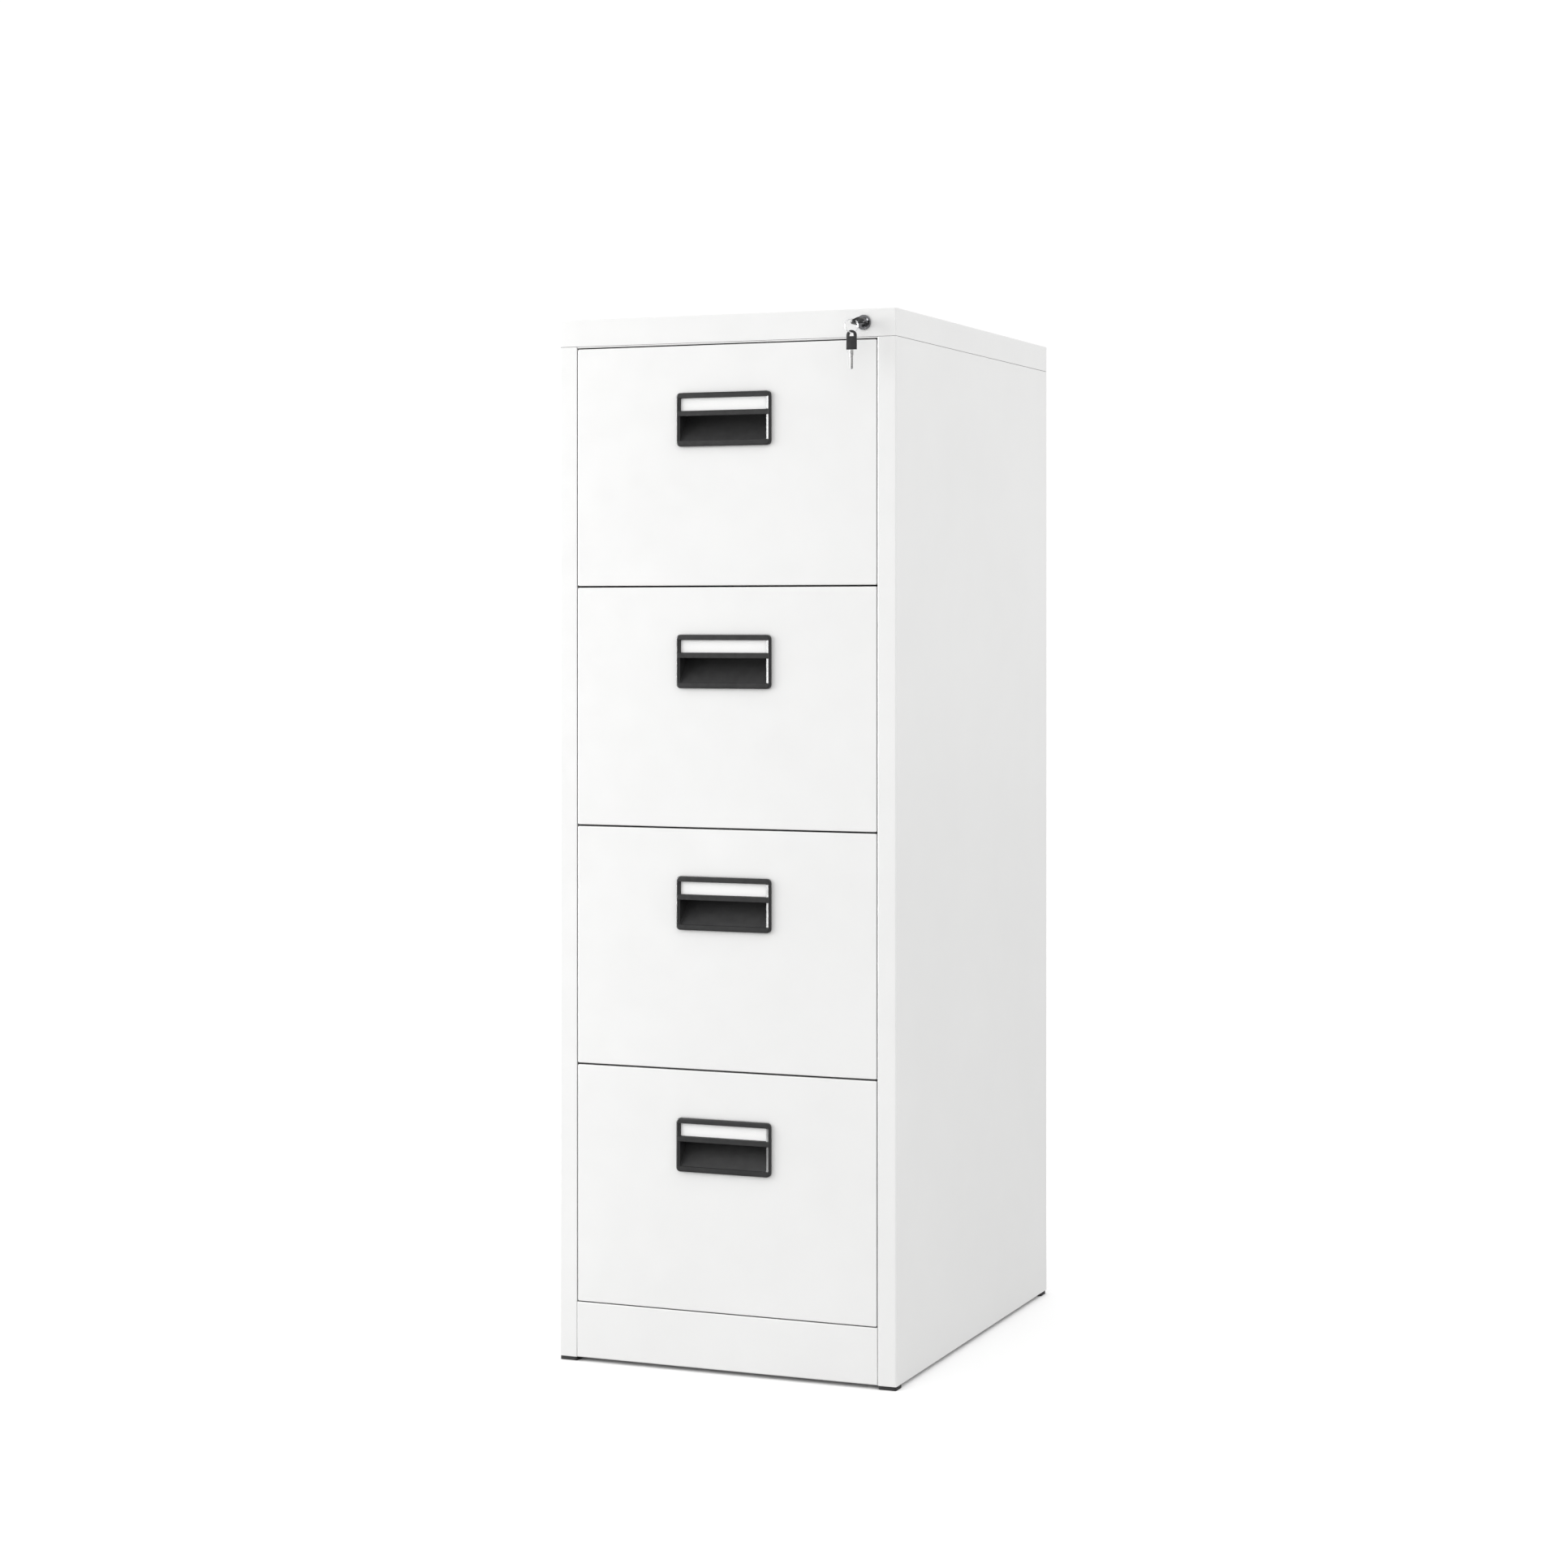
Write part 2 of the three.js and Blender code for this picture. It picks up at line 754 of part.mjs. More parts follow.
const nutFrontY = frontY + 2 * shell.sheet + seamGap + seatGap;
const nutOutline = new THREE.Shape();
for (let i = 0; i < 6; i += 1) {
  const angle = (i * Math.PI) / 3;
  const radius = (lock.radius + nut.wall) / Math.cos(Math.PI / 6);
  const corner = [lockX + radius * Math.cos(angle), lockZ + radius * Math.sin(angle)];
  if (i === 0) nutOutline.moveTo(...corner);
  else nutOutline.lineTo(...corner);
}
addPiece(
  'lock_nut',
  pushed('y', nutOutline, nutFrontY, nutFrontY + nut.thickness, {
    holes: [circle(lockX, lockZ, lock.radius + seatGap)],
    steps: 12,
  }),
  'zincSteel',
);

const plugFrontY = frontY - lock.flangeProud + plug.faceInset;

// Turns a piece drawn upright about the lock's axis to the way the keyway leans.
function leant(geometry) {
  return geometry
    .translate(-lockX, 0, -lockZ)
    .rotateY(THREE.MathUtils.degToRad(keyway.lean))
    .translate(lockX, 0, lockZ);
}

function lockPlug() {
  const tailEnd = lockBackY + plug.tailLength;
  const body = turned(
    [
      [0, tailEnd],
      [plug.tailRadius, tailEnd],
      [plug.tailRadius, lockBackY],
      [plug.radius, lockBackY],
      [plug.radius, plugFrontY],
      [0, plugFrontY],
    ],
    lockX,
    lockZ,
  );
  const slotHalfX = key.bladeThickness / 2 + keyway.clearance;
  const slotHalfZ = key.bladeWidth / 2 + keyway.clearance;
  const slot = block(
    [lockX - slotHalfX, lockX + slotHalfX],
    [plugFrontY - overlap, plugFrontY + keyway.depth],
    [lockZ - slotHalfZ, lockZ + slotHalfZ],
  );
  return cut(body, leant(slot));
}

addPiece('lock_plug', lockPlug(), 'darkChrome');

// A link from the plug's tail to a pin that works in the locking bar's slot.
function lockCam() {
  const start = lockBackY + crank.setback;
  const end = start + crank.thickness;
  const angle = THREE.MathUtils.degToRad(restAngle);
  const hubRadius = plug.tailRadius + crank.hubWall;
  const tipRadius = crank.pinRadius + crank.tipWall;
  const outline = new THREE.Shape();
  outline.absarc(lockX, lockZ, hubRadius, angle + Math.PI / 2, angle + Math.PI * 1.5, false);
  outline.absarc(pinX, pinZ, tipRadius, angle - Math.PI / 2, angle + Math.PI / 2, false);
  const link = pushed('y', outline, start, end, {
    holes: [circle(lockX, lockZ, plug.tailRadius + seatGap)],
    steps: 8,
  });
  const pin = turned(
    [
      [0, end + crank.pinLength],
      [crank.pinRadius, end + crank.pinLength],
      [crank.pinRadius, end - overlap],
      [0, end - overlap],
    ],
    pinX,
    pinZ,
    16,
  );
  return joined(link, pin);
}

addPiece('lock_cam', lockCam(), 'zincSteel');

// The key's blade is in the plug and its head stands out at the front.
function cabinetKey() {
  const headBack = keyEndY + key.headLength;
  const half = key.headWidth / 2;
  const outline = new THREE.Shape();
  outline.moveTo(headBack, lockZ - half);
  outline.lineTo(headBack, lockZ + half);
  outline.absarc(keyEndY + half, lockZ, half, Math.PI / 2, Math.PI * 1.5, false);
  const hole = new THREE.Path();
  const holeEnd = keyEndY + keyhole.fromEnd;
  hole.moveTo(holeEnd + keyhole.length, lockZ - keyhole.width / 2);
  hole.lineTo(holeEnd + keyhole.length, lockZ + keyhole.width / 2);
  hole.absellipse(
    holeEnd + keyhole.length,
    lockZ,
    keyhole.length,
    keyhole.width / 2,
    Math.PI / 2,
    Math.PI * 1.5,
    false,
    0,
  );
  const head = pushed(
    'x',
    outline,
    lockX - key.headThickness / 2,
    lockX + key.headThickness / 2,
    { holes: [hole], steps: 8 },
  );
  const bladeEnd = plugFrontY + keyway.depth - keyway.clearance;
  const blade = block(
    [lockX - key.bladeThickness / 2, lockX + key.bladeThickness / 2],
    [headBack - overlap, bladeEnd],
    [lockZ - key.bladeWidth / 2, lockZ + key.bladeWidth / 2],
  );
  return leant(joined(head, blade));
}

addPiece('key', cabinetKey(), 'blackPlastic');

// A strip behind the right stile, with an arm at the top for the pin. When it rises, one hook for
// each drawer stands in front of the drawer's catch.
function lockingBar() {
  const stripX = [barX, barX + lockBar.thickness];
  const plateY = [barBackY - hook.thickness, barBackY];
  const hookX = [trayHalf + hook.gapInside, stripX[1]];
  const hookTops = drawerNumbers.map(
    (number) => drawerPlaces(number).catchTop - catchPlate.height - hook.gapBelow,
  );
  const hooks = hookTops.map((top) => block(hookX, plateY, [top - hook.height, top]));
  const bottom = Math.min(...hookTops) - hook.height - hook.tail;
  const strip = block(stripX, [barFrontY, barBackY], [bottom, pinZ + lockBar.arm / 2]);
  const slotHalf = crank.pinRadius + lockBar.slotClearance;
  const slotX = [pinX - slotHalf, lockX + crank.arm + slotHalf];
  const arm = block(
    [slotX[0] - lockBar.armEnd, stripX[1]],
    plateY,
    [pinZ - lockBar.arm / 2, pinZ + lockBar.arm / 2],
  );
  const slot = block(
    slotX,
    [plateY[0] - overlap, plateY[1] + overlap],
    [pinZ - slotHalf, pinZ + slotHalf],
  );
  return geometryOf(solidOf(joined(strip, arm, ...hooks)).subtract(solidOf(slot)));
}

addPiece('lock_bar', lockingBar(), 'barSteel');

// A bracket on the right frame's front post that keeps the bar upright and lets it rise.
function barGuide(centreZ) {
  const slotX = [barX - guide.clearance, barX + lockBar.thickness + guide.clearance];
  const slotY = [barFrontY - guide.clearance, barBackY + guide.clearance];
  const bracket = block(
    [slotX[0] - guide.wall, slotX[1] + guide.wall],
    [slotY[0] - guide.skin, frontY + upright.frontAt - seatGap],
    [centreZ - guide.height / 2, centreZ + guide.height / 2],
  );
  return cut(bracket, block(slotX, slotY, [centreZ - guide.height, centreZ + guide.height]));
}

const guideZ = drawerPlaces(drawerCount - 1).slideZ + guide.aboveSlide;
addPiece('lock_bar_guide', barGuide(guideZ), 'zincSteel');

export default cabinet;
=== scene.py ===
import json
import math

import bmesh
import bpy
from mathutils import Matrix, Vector


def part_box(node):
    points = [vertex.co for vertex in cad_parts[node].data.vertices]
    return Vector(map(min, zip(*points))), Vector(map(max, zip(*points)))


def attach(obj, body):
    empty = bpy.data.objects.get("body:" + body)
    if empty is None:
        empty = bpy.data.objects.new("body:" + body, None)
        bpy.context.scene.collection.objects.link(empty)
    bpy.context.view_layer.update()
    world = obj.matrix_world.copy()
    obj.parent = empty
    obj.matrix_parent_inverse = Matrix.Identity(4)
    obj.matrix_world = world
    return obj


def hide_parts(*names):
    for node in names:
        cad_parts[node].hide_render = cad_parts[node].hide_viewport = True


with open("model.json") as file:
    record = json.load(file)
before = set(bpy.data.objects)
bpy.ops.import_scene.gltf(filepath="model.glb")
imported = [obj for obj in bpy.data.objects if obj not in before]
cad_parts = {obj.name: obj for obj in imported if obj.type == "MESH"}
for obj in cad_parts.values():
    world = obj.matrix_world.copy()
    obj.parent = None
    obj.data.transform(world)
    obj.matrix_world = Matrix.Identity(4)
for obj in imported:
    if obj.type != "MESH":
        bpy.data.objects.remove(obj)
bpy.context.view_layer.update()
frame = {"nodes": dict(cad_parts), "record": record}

nodes = frame["nodes"]
mm = 0.001
drawers = [1, 2, 3, 4]
sides = {"left": -1, "right": 1}
print("cabinet loaded,", len(nodes), "parts")


# camera and light
view = {
    "fromCorner": (1.3446, -3.6875, 0.950),  # from the foot of the near front edge
    "turn": 22.05,
    "lens": 73.18,
    "sensor": 36,
    "drop": -0.1048,
}

studio = {
    "left": 0.45,  # sky brightness far left, far right and what the sky gains overhead
    "right": 1.11,
    "above": 0.5,
    "backdrop": 1.05,
    "floor": 0.99,
    "floorBounce": 0.45,
    "floorCloud": 0.8,
    "floorChange": 0.006,
    "floorReach": 14,
    "key": {"size": (2.4, 2.4), "at": (-3.3, -2.75, 1.7), "aim": (0, -0.3, 0.7), "power": 64},
    "edge": {"size": (1.3, 2.8), "at": (-2.9, -1.0, 0.9), "aim": (0, -0.3, 0.8), "power": 640},
}


def setCamera():
    low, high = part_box("right_side_panel")
    data = bpy.data.cameras.new("camera")
    data.lens = view["lens"]
    data.sensor_width = view["sensor"]
    data.shift_y = view["drop"]
    camera = bpy.data.objects.new("camera", data)
    camera.location = Vector((high.x, low.y, 0)) + Vector(view["fromCorner"])
    camera.rotation_euler = (math.radians(90), 0, math.radians(view["turn"]))
    bpy.context.scene.collection.objects.link(camera)
    bpy.context.scene.camera = camera


def addLamp(name, setting, lightsMatt=True):
    # a lamp that doesn't light matt surfaces only adds its reflection
    data = bpy.data.lights.new(name, "AREA")
    data.shape = "RECTANGLE"
    data.size, data.size_y = setting["size"]
    data.energy = setting["power"]
    lamp = bpy.data.objects.new(name, data)
    lamp.location = setting["at"]
    away = Vector(setting["at"]) - Vector(setting["aim"])
    lamp.rotation_euler = away.to_track_quat("Z", "Y").to_euler()
    lamp.visible_diffuse = lightsMatt
    bpy.context.scene.collection.objects.link(lamp)


def setSky():
    world = bpy.data.worlds.new("studio")
    bpy.context.scene.world = world
    world.use_nodes = True
    tree = world.node_tree
    tree.nodes.clear()
    coords = tree.nodes.new("ShaderNodeTexCoord")
    split = tree.nodes.new("ShaderNodeSeparateXYZ")
    tree.links.new(coords.outputs["Generated"], split.inputs[0])
    across = tree.nodes.new("ShaderNodeMapRange")
    across.inputs["From Min"].default_value = -1
    across.inputs["To Min"].default_value = studio["left"]
    across.inputs["To Max"].default_value = studio["right"]
    tree.links.new(split.outputs["X"], across.inputs["Value"])
    up = tree.nodes.new("ShaderNodeMapRange")
    up.inputs["To Max"].default_value = studio["above"]
    tree.links.new(split.outputs["Z"], up.inputs["Value"])
    total = tree.nodes.new("ShaderNodeMath")
    tree.links.new(across.outputs[0], total.inputs[0])
    tree.links.new(up.outputs[0], total.inputs[1])
    light = tree.nodes.new("ShaderNodeBackground")
    tree.links.new(total.outputs[0], light.inputs["Strength"])
    paper = tree.nodes.new("ShaderNodeBackground")
    path = tree.nodes.new("ShaderNodeLightPath")
    mix = tree.nodes.new("ShaderNodeMixShader")
    tree.links.new(path.outputs["Is Camera Ray"], mix.inputs[0])
    tree.links.new(light.outputs[0], mix.inputs[1])
    tree.links.new(paper.outputs[0], mix.inputs[2])
    for background in (light, paper):
        background.inputs["Color"].default_value = (1, 1, 1, 1)
    paper.inputs["Strength"].default_value = studio["backdrop"]
    output = tree.nodes.new("ShaderNodeOutputWorld")
    tree.links.new(mix.outputs[0], output.inputs[0])
    bpy.context.scene.view_settings.view_transform = "Standard"


setCamera()
setSky()
addLamp("key lamp", studio["key"])
addLamp("edge lamp", studio["edge"], lightsMatt=False)
print("camera and lamps placed")


# small tools for the finishes
def newFinish(name, **sockets):
    material = bpy.data.materials.new(name)
    material.use_nodes = True
    shader = material.node_tree.nodes["Principled BSDF"]
    for socket, value in sockets.items():
        shader.inputs[socket.replace("_", " ")].default_value = value
    return material, material.node_tree, shader


def grain(tree, size, stretch=(1, 1, 1), detail=3):
    coords = tree.nodes.new("ShaderNodeTexCoord")
    mapping = tree.nodes.new("ShaderNodeMapping")
    mapping.inputs["Scale"].default_value = stretch
    noise = tree.nodes.new("ShaderNodeTexNoise")
    noise.inputs["Scale"].default_value = 1 / size
    noise.inputs["Detail"].default_value = detail
    tree.links.new(coords.outputs["Object"], mapping.inputs[0])
    tree.links.new(mapping.outputs[0], noise.inputs["Vector"])
    return noise.outputs[0]


noiseSpan = (0.3, 0.7)  # noise seldom leaves this span


def ranged(tree, value, low, high):
    node = tree.nodes.new("ShaderNodeMapRange")
    node.inputs["From Min"].default_value = noiseSpan[0]
    node.inputs["From Max"].default_value = noiseSpan[1]
    node.inputs["To Min"].default_value = low
    node.inputs["To Max"].default_value = high
    tree.links.new(value, node.inputs["Value"])
    return node.outputs[0]


def mixed(tree, value, dark, light):
    node = tree.nodes.new("ShaderNodeValToRGB")
    for element, position, colour in zip(node.color_ramp.elements, noiseSpan, (dark, light)):
        element.position = position
        element.color = (*colour, 1)
    tree.links.new(value, node.inputs[0])
    return node.outputs[0]


def raised(tree, shader, value, depth):
    node = tree.nodes.new("ShaderNodeBump")
    node.inputs["Distance"].default_value = depth
    node.inputs["Strength"].default_value = 1
    tree.links.new(value, node.inputs["Height"])
    tree.links.new(node.outputs[0], shader.inputs["Normal"])


# finishes
paint = {
    "dark": (0.858, 0.858, 0.852),
    "light": (0.878, 0.878, 0.872),
    "cloud": 160 * mm,
    "patch": 30 * mm,
    "roughness": (0.36, 0.44),
    "peel": 1.1 * mm,
    "peelDepth": 0.012 * mm,
    "gap": (0.42, 0.42, 0.415),  # painted shade colour where two sheets nearly meet
    "paintedShadeReach": 5 * mm,
}


def whitePaint():
    material, tree, shader = newFinish("white powder coat", Coat_Weight=0.15, Coat_Roughness=0.2)
    colour = mixed(tree, grain(tree, paint["cloud"]), paint["dark"], paint["light"])
    # painted shade: ambient occlusion darkens the paint towards the gap colour in the gaps between sheets
    # and on the panel beside the pulls
    paintedShadeMask = tree.nodes.new("ShaderNodeAmbientOcclusion")
    paintedShadeMask.samples = 4
    paintedShadeMask.inputs["Distance"].default_value = paint["paintedShadeReach"]
    blend = tree.nodes.new("ShaderNodeMix")
    blend.data_type = "RGBA"
    blend.inputs[6].default_value = (*paint["gap"], 1)
    tree.links.new(ranged(tree, paintedShadeMask.outputs["AO"], 0, 1), blend.inputs[0])
    tree.links.new(colour, blend.inputs[7])
    tree.links.new(blend.outputs[2], shader.inputs["Base Color"])
    gloss = ranged(tree, grain(tree, paint["patch"]), *paint["roughness"])
    tree.links.new(gloss, shader.inputs["Roughness"])
    raised(tree, shader, grain(tree, paint["peel"], detail=1), paint["peelDepth"])
    return material


zinc = {
    "dark": (0.50, 0.52, 0.54),
    "light": (0.66, 0.68, 0.69),
    "cloud": 25 * mm,
    "brush": 60 * mm,
    "brushRatio": 60,
    "brushDepth": 0.006 * mm,
    "roughness": (0.27, 0.42),
}


def zincPlate(name, along):
    stretch = [1 if axis == along else zinc["brushRatio"] for axis in "XYZ"]
    material, tree, shader = newFinish(name, Metallic=0.95, Anisotropic=0.4)
    brushed = grain(tree, zinc["brush"], stretch)
    cloudy = grain(tree, zinc["cloud"])
    colour = mixed(tree, cloudy, zinc["dark"], zinc["light"])
    tree.links.new(colour, shader.inputs["Base Color"])
    tree.links.new(ranged(tree, brushed, *zinc["roughness"]), shader.inputs["Roughness"])
    raised(tree, shader, brushed, zinc["brushDepth"])
    return material


plastic = {
    "dark": (0.027, 0.027, 0.0275),
    "light": (0.034, 0.034, 0.0345),
    "cloud": 12 * mm,
    "patch": 4 * mm,
    "grain": 0.45 * mm,
}


def mouldedPlastic(name, roughness=(0.30, 0.40), depth=0.012 * mm):
    material, tree, shader = newFinish(name, IOR=1.42, Specular_IOR_Level=0.28)
    colour = mixed(tree, grain(tree, plastic["cloud"]), plastic["dark"], plastic["light"])
    tree.links.new(colour, shader.inputs["Base Color"])
    gloss = ranged(tree, grain(tree, plastic["patch"]), *roughness)
    tree.links.new(gloss, shader.inputs["Roughness"])
    raised(tree, shader, grain(tree, plastic["grain"], detail=1), depth)
    return material


polish = {"cloud": 4 * mm, "scratch": 6 * mm, "ratio": 14, "depth": 0.002 * mm}


def polishedMetal(name, dark, light, roughness):
    material, tree, shader = newFinish(name, Metallic=1.0)
    colour = mixed(tree, grain(tree, polish["cloud"]), dark, light)
    tree.links.new(colour, shader.inputs["Base Color"])
    scratches = grain(tree, polish["scratch"], (1, polish["ratio"], polish["ratio"]), detail=5)
    tree.links.new(ranged(tree, scratches, *roughness), shader.inputs["Roughness"])
    raised(tree, shader, scratches, polish["depth"])
    return material


steel = {
    "dark": (0.30, 0.31, 0.32),
    "light": (0.46, 0.47, 0.48),
    "streak": 120 * mm,
    "streakRatio": 30,
    "streakDepth": 0.008 * mm,
    "patch": 10 * mm,
    "roughness": (0.38, 0.55),
}


def rolledSteel():
    material, tree, shader = newFinish("rolled steel", Metallic=0.9)
    streaks = grain(tree, steel["streak"], (steel["streakRatio"], steel["streakRatio"], 1))
    colour = mixed(tree, streaks, steel["dark"], steel["light"])
    tree.links.new(colour, shader.inputs["Base Color"])
    gloss = ranged(tree, grain(tree, steel["patch"]), *steel["roughness"])
    tree.links.new(gloss, shader.inputs["Roughness"])
    raised(tree, shader, streaks, steel["streakDepth"])
    return material


card = {
    "dark": (0.955, 0.955, 0.95),
    "light": (0.975, 0.975, 0.97),
    "fibre": 1.6 * mm,
    "fibreRatio": 4,
    "fibreDepth": 0.01 * mm,
    "roughness": (0.72, 0.85),
}


def cardPaper():
    material, tree, shader = newFinish("label card")
    fibres = grain(tree, card["fibre"], (1, 1, card["fibreRatio"]), detail=6)
    colour = mixed(tree, fibres, card["dark"], card["light"])
    tree.links.new(colour, shader.inputs["Base Color"])
    tree.links.new(ranged(tree, fibres, *card["roughness"]), shader.inputs["Roughness"])
    raised(tree, shader, fibres, card["fibreDepth"])
    return material


def floorPaper():
    # looks white, and throws back a little less light than it shows
    material, tree, shader = newFinish("studio floor", Roughness=0.9)
    change = studio["floorChange"]
    shades = [(studio["floor"] + step,) * 3 for step in (-change, change)]
    seen = mixed(tree, grain(tree, studio["floorCloud"]), *shades)
    path = tree.nodes.new("ShaderNodeLightPath")
    blend = tree.nodes.new("ShaderNodeMix")
    blend.data_type = "RGBA"
    blend.inputs[6].default_value = (*(studio["floorBounce"],) * 3, 1)
    tree.links.new(path.outputs["Is Camera Ray"], blend.inputs[0])
    tree.links.new(seen, blend.inputs[7])
    tree.links.new(blend.outputs[2], shader.inputs["Base Color"])
    return material


finishes = {
    "white_paint": whitePaint(),
    "zinc_steel": zincPlate("zinc plate drawn along Y", "Y"),
    "zinc_post": zincPlate("zinc plate drawn along Z", "Z"),
    "black_plastic": mouldedPlastic("black moulded plastic"),
    "foot_plastic": mouldedPlastic("black foot plastic", (0.5, 0.65), 0.02 * mm),
    "dark_chrome": polishedMetal("dark chrome", (0.16, 0.16, 0.17), (0.24, 0.24, 0.25), (0.10, 0.18)),
    "bright_chrome": polishedMetal("bright chrome", (0.70, 0.70, 0.71), (0.80, 0.80, 0.81), (0.08, 0.14)),
    "nickel": polishedMetal("nickel plate", (0.36, 0.36, 0.36), (0.46, 0.46, 0.45), (0.22, 0.34)),
    "ball_steel": polishedMetal("ball steel", (0.62, 0.63, 0.64), (0.72, 0.73, 0.74), (0.05, 0.12)),
    "bar_steel": rolledSteel(),
    "card": cardPaper(),
    "floor": floorPaper(),
}
print("finishes mixed")


# small tools for the shapes
def newPiece(name, bm, finish, body, smooth=40):
    bmesh.ops.remove_doubles(bm, verts=bm.verts, dist=0.0005 * mm)
    bmesh.ops.recalc_face_normals(bm, faces=bm.faces)
    mesh = bpy.data.meshes.new(name)
    bm.to_mesh(mesh)
    bm.free()
    mesh.materials.append(finishes[finish])
    mesh.shade_smooth()
    mesh.set_sharp_from_angle(angle=math.radians(smooth))
    piece = bpy.data.objects.new(name, mesh)
    bpy.context.scene.collection.objects.link(piece)
    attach(piece, body)
    return piece


def roundedRing(bm, across, up, radius, y, steps=6):
    corners = [
        (across[1] - radius, up[0] + radius, -90),
        (across[1] - radius, up[1] - radius, 0),
        (across[0] + radius, up[1] - radius, 90),
        (across[0] + radius, up[0] + radius, 180),
    ]
    ring = []
    for x, z, start in corners:
        for step in range(steps + 1):
            angle = math.radians(start + 90 * step / steps)
            place = (x + radius * math.cos(angle), y, z + radius * math.sin(angle))
            ring.append(bm.verts.new(place))
    return ring


def skin(bm, rings):
    for near, far in zip(rings, rings[1:]):
        count = len(near)
        for i in range(count):
            j = (i + 1) % count
            bm.faces.new((near[i], near[j], far[j], far[i]))


def flatFill(bm, *rings):
    edges = []
    for ring in rings:
        for i, corner in enumerate(ring):
            pair = (corner, ring[(i + 1) % len(ring)])
            edges.append(bm.edges.get(pair) or bm.edges.new(pair))
    bmesh.ops.triangle_fill(bm, use_beauty=True, edges=edges)


def quarter(steps):
    return [math.radians(90 * step / steps) for step in range(steps + 1)]


def turnedPiece(bm, profile, centre, axis=(0, 1, 0), count=48):
    # profile is (radius, distance along the axis) pairs; a pair on the axis closes the end
    turn = Vector((0, 1, 0)).rotation_difference(Vector(axis)).to_matrix()
    rings = []
    for radius, along in profile:
        if radius < 1e-9:
            rings.append([bm.verts.new(Vector(centre) + turn @ Vector((0, along, 0)))])
            continue
        ring = []
        for i in range(count):
            angle = 2 * math.pi * i / count
            local = Vector((radius * math.cos(angle), along, radius * math.sin(angle)))
            ring.append(bm.verts.new(Vector(centre) + turn @ local))
        rings.append(ring)
    for near, far in zip(rings, rings[1:]):
        for i in range(count):
            j = (i + 1) % count
            corners = [near[i % len(near)], near[j % len(near)], far[j % len(far)], far[i % len(far)]]
            unique = list(dict.fromkeys(corners))
            if len(unique) > 2:
                bm.faces.new(unique)


def plateFrom(name, outlines, thickness, edge, place):
    # outlines are lists of (u, v); the first is the outside and the others are holes
    curve = bpy.data.curves.new(name, "CURVE")
    curve.dimensions = "2D"
    curve.fill_mode = "BOTH"
    curve.extrude = thickness / 2 - edge
    curve.bevel_depth = edge
    curve.bevel_resolution = 2
    curve.offset = -edge
    for outline in outlines:
        spline = curve.splines.new("POLY")
        spline.points.add(len(outline) - 1)
        for point, (u, v) in zip(spline.points, outline):
            point.co = (u, v, 0, 1)
        spline.use_cyclic_u = True
    temporary = bpy.data.objects.new(name, curve)
    mesh = bpy.data.meshes.new_from_object(temporary)
    bm = bmesh.new()
    bm.from_mesh(mesh)
    bmesh.ops.transform(bm, matrix=place, verts=bm.verts)
    bpy.data.objects.remove(temporary)
    bpy.data.curves.remove(curve)
    bpy.data.meshes.remove(mesh)
    return bm


def arc(x, z, radiusX, radiusZ, start, end, steps=12):
    points = []
    for step in range(steps + 1):
        angle = math.radians(start + (end - start) * step / steps)
        points.append((x + radiusX * math.cos(angle), z + radiusZ * math.sin(angle)))
    return points


# sheet metal and the rest of the parts that keep their own shape
edges = {
    "white_paint": 0.45 * mm,
    "zinc_steel": 0.3 * mm,
    "zinc_post": 0.4 * mm,
    "dark_chrome": 0.25 * mm,
    "bar_steel": 0.3 * mm,
    "foot_plastic": 0.5 * mm,
}
dressing = {"weld": 0.0008 * mm, "flat": 0.6, "corner": 40, "segments": 2}  # angles in degrees


def dress(name, finish):
    part = nodes[name]
    part.data.materials.clear()
    part.data.materials.append(finishes[finish])
    weld = part.modifiers.new("join corners", "WELD")
    weld.merge_threshold = dressing["weld"]
    flat = part.modifiers.new("join flats", "DECIMATE")
    flat.decimate_type = "DISSOLVE"
    flat.angle_limit = math.radians(dressing["flat"])
    soften = part.modifiers.new("soft edges", "BEVEL")
    soften.width = edges[finish]
    soften.segments = dressing["segments"]
    soften.limit_method = "ANGLE"
    soften.angle_limit = math.radians(dressing["corner"])
    soften.harden_normals = True
    shade = part.modifiers.new("even shading", "WEIGHTED_NORMAL")
    shade.keep_sharp = True


slots = {row["node"]: row["material_slot"] for row in frame["record"]["subparts"]}
for name in sorted(nodes):
    finish = slots[name]
    if name.endswith(("_frame", "_guide")):
        finish = "zinc_post"
    if finish == "black_plastic":
        continue
    dress(name, finish)
print("sheet metal finished")


# drawer pulls: a moulded frame with a label window over a finger pocket
pull = {
    "topBar": 6.7 * mm,
    "window": 16.1 * mm,
    "divider": 6.8 * mm,
    "recess": 31 * mm,
    "openingWidth": 118 * mm,
    "windowDepth": 4.6 * mm,
    "recessWidth": 118.6 * mm,
    "frameDepth": 5.5 * mm,
    "corner": 5.5 * mm,
    "edge": 2.0 * mm,
    "slant": 3.3 * mm,  # how far the openings' sides lean outwards towards the face
    "slantDepth": 1.5 * mm,
    "lip": 0.4 * mm,
    "innerCorner": 0.8 * mm,
    "ledge": 2.4 * mm,
    "undercut": 4 * mm,
    "wall": 1.5 * mm,
    "steps": 5,
}


def openingRings(bm, up, front):
    # slanted sides, with a slight lip above and below
    rings = []
    for share in (1, 0):
        half = pull["openingWidth"] / 2 + share * pull["slant"]
        grow = share * pull["lip"]
        y = front + (1 - share) * pull["slantDepth"]
        rings.append(
            roundedRing(bm, (-half, half), (up[0] - grow, up[1] + grow), pull["innerCorner"], y)
        )
    return rings


